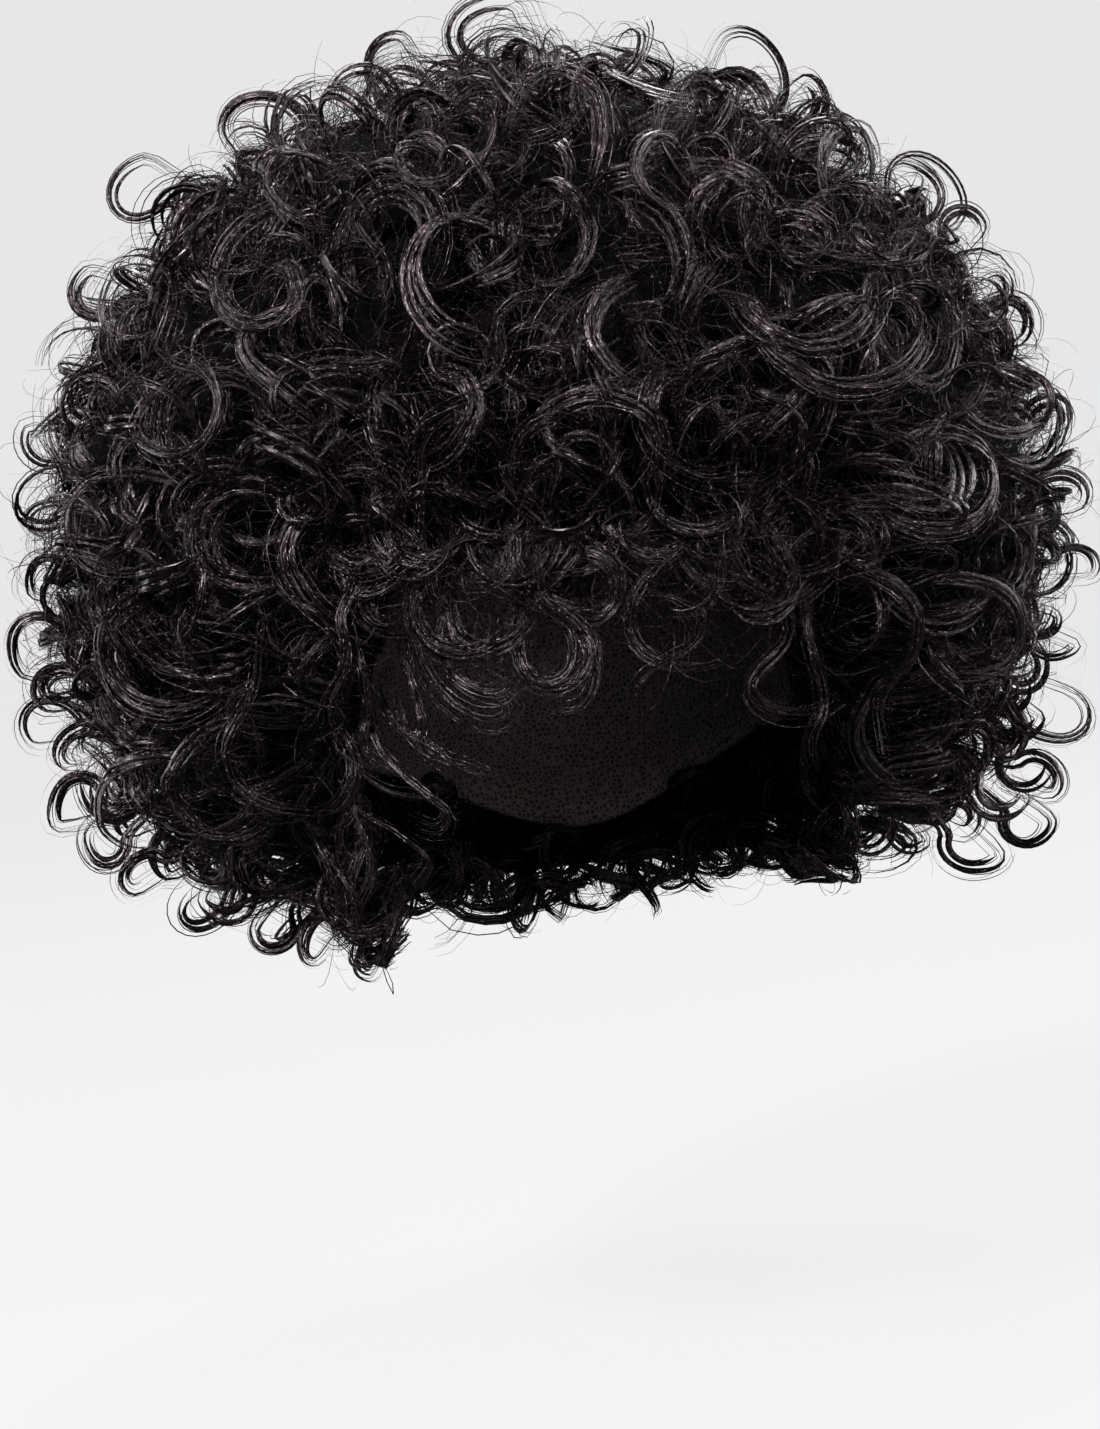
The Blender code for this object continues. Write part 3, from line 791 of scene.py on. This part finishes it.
# What hangs below the fringe: rings that face the front, waves that run down, and fine hairs
hangingRings = dict(
    ringRecipe, count=60, lowest=94, tilt=(0, 45), radius=(0.0070, 0.0125), rootShare=0.8,
    turns=(0.7, 1.3), length=(0.002, 0.012), rootHeight=(-0.006, 0.000), tipHeight=(-0.002, 0.005),
    width=(0.0028, 0.0050), bundles=3,
)
hangingWaves = dict(
    hangingRings, count=30, lowest=87, tilt=(75, 100), heading=(65, 115), radius=(0.0040, 0.0075),
    turns=(0.8, 1.5), length=(0.030, 0.052),
)
hangingFrizz = dict(
    frizzRecipe, count=380, lowest=102, points=14, tilt=(40, 140), radius=(0.006, 0.015),
    turns=(0.4, 1.1), length=(0.0, 0.030), rootHeight=(-0.004, 0.002), tipHeight=(-0.004, 0.003),
)
hanging = {
    "insideEdge": 6,  # degrees
    "slant": 0.14,  # degrees lower for each degree to the wearer's left
}


def hangingWays(recipe):  # from inside the fringe's edge down, and lower on the wearer's left
    count = recipe["count"]
    roundDeg = between((hair["faceRight"], hair["faceLeft"]), count)
    highest = hair["fringeEdge"] - hanging["insideEdge"]
    deepest = recipe["lowest"] - highest + hanging["slant"] * roundDeg
    ways = wayAt(roundDeg, highest + deepest * between((0, 1), count))
    return ways, np.full(count, sectionNumber["fringe"])


# The cap, with its rim as degrees round from the face and how far down it lies there
cap = {
    "rimRound": (0, 40, 66, 90, 120, 180),
    "rimDown": (84, 95, 119, 111, 129, 142),
    "wall": 0.0016,
    "hem": 0.0014,  # how much thicker the folded rim is, inwards
    "hemWide": 5.5,  # degrees
    "hemTop": (1.15, 0.15),  # it begins this many hem widths above the rim and thickens over this many
    "hemFoot": (0.1, 0.3),  # and it ends this many below the rim, rounded off over this many
    "cells": 52,
}


def rimDown(roundDeg):
    turned = np.abs(roundDeg)
    index = np.clip(np.searchsorted(cap["rimRound"], turned) - 1, 0, len(cap["rimRound"]) - 2)
    first, last = np.take(cap["rimRound"], index), np.take(cap["rimRound"], index + 1)
    above, below = np.take(cap["rimDown"], index), np.take(cap["rimDown"], index + 1)
    return above + (below - above) * eased((turned - first) / (last - first))


# The inside of the hair that hangs free below the cap's rim
innerLocks = dict(
    ringRecipe, count=600, margin=2, points=15, tilt=(20, 160), radius=(0.0060, 0.0110),
    length=(0.004, 0.020), rootHeight=(0.000, 0.003), tipHeight=(-0.002, 0.001), width=(0.0030, 0.0055),
    bundles=3, strands=4,
)
innerFrizz = dict(frizzRecipe, count=5000, margin=2, rootHeight=(-0.003, 0.001), tipHeight=(-0.003, 0.001))
clearOfRim = 2  # degrees


def innerWays(recipe):
    ways, sections = spread(recipe)
    roundDeg, downDeg = anglesOf(ways)
    below = downDeg > rimDown(roundDeg) + clearOfRim
    return ways[below], sections[below]


def setSockets(tree, node, values):  # a socket takes a value, or a link from another node's output
    for socket, value in values.items():
        if isinstance(value, bpy.types.NodeSocket):
            tree.links.new(value, node.inputs[socket])
        else:
            node.inputs[socket].default_value = value


def addNode(tree, kind, values):
    node = tree.nodes.new("ShaderNode" + kind)
    setSockets(tree, node, values)
    return node


def newMaterial(name):
    material = bpy.data.materials.new(name)
    material.use_nodes = True
    return material, material.node_tree, material.node_tree.nodes["Principled BSDF"]


def addStrandNoise(tree, stretch, detail):  # noise drawn out along the strands
    uv = addNode(tree, "UVMap", {})
    uv.uv_map = "strand"
    place = addNode(tree, "Mapping", {"Vector": uv.outputs["UV"], "Scale": stretch}).outputs["Vector"]
    return addNode(tree, "TexNoise", {"Vector": place, "Scale": 1, "Detail": detail}).outputs["Fac"]


def addRange(tree, value, taken, given):
    names = ("Value", "From Min", "From Max", "To Min", "To Max")
    return addNode(tree, "MapRange", dict(zip(names, (value, *taken, *given)))).outputs["Result"]


def addRamp(tree, value, stops):  # stops are (position, colour), from low to high
    ramp = addNode(tree, "ValToRGB", {"Fac": value})
    elements = ramp.color_ramp.elements
    for element, stop in ((elements[0], stops[0]), (elements[1], stops[-1])):
        element.position, element.color = stop
    for position, colour in stops[1:-1]:
        elements.new(position).color = colour
    return ramp.outputs["Color"]


def addBump(tree, height, depth, inwards=False):
    bump = addNode(tree, "Bump", {"Height": height, "Distance": depth})
    bump.invert = inwards
    return bump.outputs["Normal"]


hairTint = (1, 0.83, 0.87, 1)


def hairMaterial():
    look = {
        # The ramp's dark and middle stops are the hair's own tone, varying at random in patches; its light
        # stop is painted highlight, pale patches along the strands
        "dark": (0.44, (0.0008, 0.0006, 0.0007, 1)),
        "middle": (0.60, (0.0060, 0.0042, 0.0046, 1)),
        "light": (0.78, (0.0700, 0.0455, 0.0490, 1)),
        "patches": ((2.0, 6, 1), 3),  # each noise's stretch along the strand UV, and its detail
        "strands": ((1.3, 12, 1), 2),
        "dashes": ((6.5, 16, 1), 1),
        # painted glints: a pale colour laid into the hair's colour in sparse short dashes along the strands,
        # where the dash noise is high
        "paintedGlint": (0.55, 0.40, 0.43, 1),
        "paintedGlintMask": (0.64, 0.74),
        "gloss": (0.16, 0.44),
        "glossFrom": (0.3, 0.7),
        "strandDepth": 0.0005,
    }
    material, tree, shader = newMaterial("hair_locks")
    strands = addStrandNoise(tree, *look["strands"])
    patches = addStrandNoise(tree, *look["patches"])
    dashes = addStrandNoise(tree, *look["dashes"])
    # the hair's own tone, with the painted highlight patches of the light stop
    toneAndPaintedHighlight = addRamp(tree, patches, (look["dark"], look["middle"], look["light"]))
    # the mask of the painted glints, from the dash noise
    paintedGlintMask = addRange(tree, dashes, look["paintedGlintMask"], (0, 1))
    # mixes the painted glints into the hair's base colour
    paintedGlintMix = addNode(tree, "Mix", {})
    paintedGlintMix.data_type = "RGBA"
    setSockets(tree, paintedGlintMix, {"Factor": paintedGlintMask, 6: toneAndPaintedHighlight, 7: look["paintedGlint"]})
    sockets = {
        "Base Color": paintedGlintMix.outputs[2],
        "Roughness": addRange(tree, patches, look["glossFrom"], look["gloss"]),
        "Specular IOR Level": 0.45,
        "Specular Tint": hairTint,
        "Normal": addBump(tree, strands, look["strandDepth"]),
    }
    setSockets(tree, shader, sockets)
    return material


def frizzMaterial():
    look = {
        # The ramp's dark stop is the fine hairs' own colour; its light stop is painted glints, pale short
        # dashes along each hair
        "dark": (0.54, (0.0010, 0.0007, 0.0008, 1)),
        "light": (0.68, (0.0750, 0.0520, 0.0560, 1)),
        "dashes": ((6, 15, 1), 2),
        "strandDepth": 0.0006,
    }
    material, tree, shader = newMaterial("hair_frizz")
    dashes = addStrandNoise(tree, *look["dashes"])
    sockets = {
        # the fine hairs' colour with their painted glints
        "Base Color": addRamp(tree, dashes, (look["dark"], look["light"])),
        "Roughness": 0.30,
        "Specular IOR Level": 0.26,
        "Specular Tint": hairTint,
        "Normal": addBump(tree, dashes, look["strandDepth"]),
    }
    setSockets(tree, shader, sockets)
    return material


def undercoatMaterial():
    tangleDepth = 0.0012
    material, tree, shader = newMaterial("hair_undercoat")
    place = addNode(tree, "TexCoord", {}).outputs["Object"]
    tangle = addNode(tree, "TexNoise", {"Vector": place, "Scale": 420, "Detail": 3, "Distortion": 2.5})
    sockets = {
        "Base Color": (0.0012, 0.0009, 0.0010, 1),
        "Roughness": 0.8,
        "Specular IOR Level": 0.04,
        "Normal": addBump(tree, tangle.outputs["Fac"], tangleDepth),
    }
    setSockets(tree, shader, sockets)
    return material


def capMaterial():
    thread = (0.06, (0.150, 0.126, 0.120, 1))
    gap = (0.22, (0.030, 0.025, 0.024, 1))
    threadDepth = 0.0005
    material, tree, shader = newMaterial("cap_net")
    place = addNode(tree, "TexCoord", {}).outputs["Object"]
    net = addNode(tree, "TexVoronoi", {"Vector": place, "Scale": 620, "Randomness": 0.85})
    net.feature = "DISTANCE_TO_EDGE"
    sockets = {
        "Base Color": addRamp(tree, net.outputs["Distance"], (thread, gap)),
        "Roughness": 0.75,
        "Specular IOR Level": 0.25,
        "Normal": addBump(tree, net.outputs["Distance"], threadDepth, True),
    }
    setSockets(tree, shader, sockets)
    return material


undercoat = {
    "below": 0.009,  # under the close hair's outside
    "least": 0.003,
    "lump": 0.0022,
    "lumpsRound": 17,
    "lumpsDown": 15,
    "bendRound": (3, 5),  # how strongly and how often the rows of lumps bend
    "bendDown": (2, 4),
    "edgeShare": 0.25,
    "edgeRounding": 22,  # degrees
    "cell": 3.2,
}


def undercoatReaches(ways, roundDeg, downDeg):
    around, down = np.radians(roundDeg), np.radians(downDeg)
    inside = hairInside(ways)
    strength, often = undercoat["bendRound"]
    rows = np.sin(undercoat["lumpsRound"] * around + strength * np.sin(often * down))
    strength, often = undercoat["bendDown"]
    lumps = rows * np.sin(undercoat["lumpsDown"] * down + strength * np.sin(often * around)) * np.sin(down)
    depth = hairOutside(ways) - undercoat["below"] + undercoat["lump"] * lumps - inside
    share = np.clip(edgeDistance(roundDeg, downDeg) / undercoat["edgeRounding"], 0, 1)
    rounded = undercoat["edgeShare"] + (1 - undercoat["edgeShare"]) * np.sqrt(share)
    return inside + np.maximum(undercoat["least"], depth * rounded), inside


def makeWall(name, angles, reaches, cells, material):  # a closed wall from its outer to its inner reach
    bpy.ops.object.select_all(action="DESELECT")
    bpy.ops.mesh.primitive_grid_add(x_subdivisions=cells[0], y_subdivisions=cells[1], size=1)
    piece = bpy.context.object
    bpy.ops.object.mode_set(mode="EDIT")
    bpy.ops.mesh.select_all(action="SELECT")
    bpy.ops.mesh.extrude_region_move()
    bpy.ops.object.mode_set(mode="OBJECT")
    mesh = piece.data
    flat = np.empty(len(mesh.vertices) * 3)
    mesh.vertices.foreach_get("co", flat)
    raised = np.empty(len(mesh.vertices), bool)
    mesh.vertices.foreach_get("select", raised)
    square = flat.reshape(-1, 3)[:, :2] + 0.5
    roundDeg, downDeg = angles(square[:, 0], square[:, 1])
    ways = wayAt(roundDeg, downDeg)
    outside, inside = reaches(ways, roundDeg, downDeg)
    places = middle + ways * np.where(raised, outside, inside)[:, None]
    mesh.vertices.foreach_set("co", places.ravel())
    bpy.ops.object.mode_set(mode="EDIT")
    bpy.ops.mesh.select_all(action="SELECT")
    bpy.ops.mesh.normals_make_consistent(inside=False)
    bpy.ops.object.mode_set(mode="OBJECT")
    piece.name = name
    mesh.name = name
    mesh.shade_smooth()
    mesh.materials.append(material)
    return piece


def discTurn(across, along):  # a square's points as a disc's: degrees round, and the share of its radius
    across, along = 2 * across - 1, 2 * along - 1
    wider = np.abs(across) > np.abs(along)
    most = np.where(wider, across, along)
    least = np.where(wider, along, across)
    turn = math.pi / 4 * least / np.where(most == 0, 1, most)
    x = np.where(wider, most * np.cos(turn), most * np.sin(turn))
    y = np.where(wider, most * np.sin(turn), most * np.cos(turn))
    return np.degrees(np.arctan2(x, -y)), np.hypot(x, y)


crownOverlap = 0.5  # degrees by which the crown's undercoat covers the others' top edges


def crownAngles(across, along):
    roundDeg, share = discTurn(across, along)
    return roundDeg, share * (hair["crownEdge"] + crownOverlap)


def patchAngles(low, high, top, bottom, slantLow, slantHigh):
    def angles(across, along):
        downDeg = bottom + (top - bottom) * along
        share = slanted(downDeg)
        start, stop = low + slantLow * share, high + slantHigh * share
        return start + (stop - start) * across, downDeg

    return angles


def makeUndercoat(section, angles, roundSpan, downSpan, material):
    cells = round(roundSpan / undercoat["cell"]), round(downSpan / undercoat["cell"])
    return makeWall(section + "_undercoat", angles, undercoatReaches, cells, material)


def makeUndercoats(material):
    left, right, back = hair["faceLeft"], hair["faceRight"], hair["sideToBack"]
    crown, side = hair["crownEdge"], hair["sideEdge"]
    patches = {
        "fringe": (right, left, crown, hair["fringeEdge"], 0, 0),
        "left_side": (left, back, crown, side, hair["slantLeft"], 0),
        "right_side": (-back, right, crown, side, 0, -hair["slantRight"]),
        "back": (back, 360 - back, crown, hair["backEdge"], 0, 0),
        "nape": (back, 360 - back, hair["backEdge"], hair["napeEdge"], 0, 0),
    }
    made = {"crown": makeUndercoat("crown", crownAngles, 2 * crown, 2 * crown, material)}
    for name, patch in patches.items():
        low, high, top, bottom = patch[:4]
        made[name] = makeUndercoat(name, patchAngles(*patch), high - low, bottom - top, material)
    return made


def capAngles(across, along):
    roundDeg, share = discTurn(across, along)
    return roundDeg, share * rimDown(roundDeg)


def capReaches(ways, roundDeg, downDeg):
    near = (rimDown(roundDeg) - downDeg) / cap["hemWide"]
    (top, topSoft), (foot, footSoft) = cap["hemTop"], cap["hemFoot"]
    hem = cap["hem"] * eased((top - near) / topSoft) * eased((near + foot) / footSoft)
    return headReach(ways, cap["wall"]), headReach(ways, 0) - hem


def makeCap(material):
    piece = makeWall("cap_net", capAngles, capReaches, (cap["cells"], cap["cells"]), material)
    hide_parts("wig_cap")
    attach(piece, "root")


stage = {
    "floorHeight": -0.32,
    "size": 60.0,
    "paint": (0.06, 0.06, 0.06, 1),
    "roughness": 0.8,
    "glow": 0.80,  # the floor's own paleness, which the camera alone sees
    "sky": 0.80,
    "skyLight": 0.07,
    "white": (1, 1, 1, 1),
}
hairAim = (0, 0, -0.05)
softboxes = {  # where each stands, what it points at, its size and its watts
    "key": ((-0.9, -1.3, 1.2), hairAim, (0.30, 0.30), 62),
    "fill": ((1.3, -1.2, 0.6), hairAim, (0.4, 0.4), 20),
    "top": ((0.1, -0.3, 1.5), (0, 0, 0), (0.35, 0.35), 14),
    "low": ((0.5, -1.3, -0.15), (0, 0, -0.1), (0.5, 0.3), 1.5),
    "behind": ((0.3, 1.5, 1.3), hairAim, (0.6, 0.6), 18),
    "rim_left": ((-1.5, 0.7, 0.1), hairAim, (0.5, 0.9), 13),
    "rim_right": ((1.5, 0.7, 0.2), hairAim, (0.5, 0.9), 16),
}


def seenAs(tree, unseen, seen):  # one strength for the camera, another for light that bounces
    path = addNode(tree, "LightPath", {})
    return addRange(tree, path.outputs["Is Camera Ray"], (0, 1), (unseen, seen))


def makeStage():
    bpy.ops.object.select_all(action="DESELECT")
    bpy.ops.mesh.primitive_plane_add(size=stage["size"], location=(0, 0, stage["floorHeight"]))
    floor = bpy.context.object
    floor.name = "floor"
    material, tree, shader = newMaterial("pale_floor")
    sockets = {
        "Base Color": stage["paint"],
        "Roughness": stage["roughness"],
        "Specular IOR Level": 0.0,
        "Emission Color": stage["white"],
        "Emission Strength": seenAs(tree, 0.0, stage["glow"]),
    }
    setSockets(tree, shader, sockets)
    floor.data.materials.append(material)


def addSoftbox(name, place, aim, size, watts):
    light = bpy.data.lights.new(name, "AREA")
    light.shape = "RECTANGLE"
    light.size, light.size_y = size
    light.energy = watts
    lamp = addObject(name, light)
    lamp.location = place
    lamp.rotation_euler = (Vector(aim) - Vector(place)).to_track_quat("-Z", "Y").to_euler()


def makeLights():
    world = bpy.data.worlds.new("studio")
    world.use_nodes = True
    tree = world.node_tree
    sky = {"Color": stage["white"], "Strength": seenAs(tree, stage["skyLight"], stage["sky"])}
    setSockets(tree, tree.nodes["Background"], sky)
    bpy.context.scene.world = world
    for name, softbox in softboxes.items():
        addSoftbox(name, *softbox)


bpy.context.scene.view_settings.view_transform = "Standard"
makeCamera()
makeStage()
makeLights()
print("camera, floor and lights made")

lockLook = hairMaterial()
frizzLook = frizzMaterial()
undercoats = makeUndercoats(undercoatMaterial())
print("undercoats made")

for recipe in (ringRecipe, archRecipe, waveRecipe, loopRecipe):
    addLocks(recipe, *laidOn(recipe))
for edge in (faceEdge, bottomEdge):
    addLocks(edgeRecipe, *standingOff(edgeRecipe, edge, edge["locks"], edge["lockDepths"]))
addDrawn(frontRings, frontWaves, drawnRecipe)
addDrawn(fringeRings, fringeWaves, fringeRecipe)
addOutlineLoops(outlineRecipe)
for recipe in (hangingRings, hangingWaves):
    addLocks(recipe, *laidOn(recipe, hangingWays))
addLocks(innerLocks, *laidOn(innerLocks, innerWays, hairInside))
print("locks made")

for recipe in (frizzRecipe, hazeRecipe):
    addStrands(recipe, *laidOn(recipe))
for edge in (faceEdge, bottomEdge):
    addStrands(edgeFrizz, *standingOff(edgeFrizz, edge, edge["strands"], edgeForm["strandDepths"]))
addStrands(hangingFrizz, *laidOn(hangingFrizz, hangingWays))
addStrands(innerFrizz, *laidOn(innerFrizz, innerWays, hairInside))
print("frizz made")

for name in sectionNames:
    pieces = [undercoats[name]]
    for kind, look in (("locks", lockLook), ("frizz", frizzLook)):
        pieces.append(meshFrom(name + "_" + kind, batches[name][kind], look))
    for piece in pieces:
        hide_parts(name + "_curls")
        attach(piece, "root")
    print(name, "hair placed")

makeCap(capMaterial())
print("cap finished")
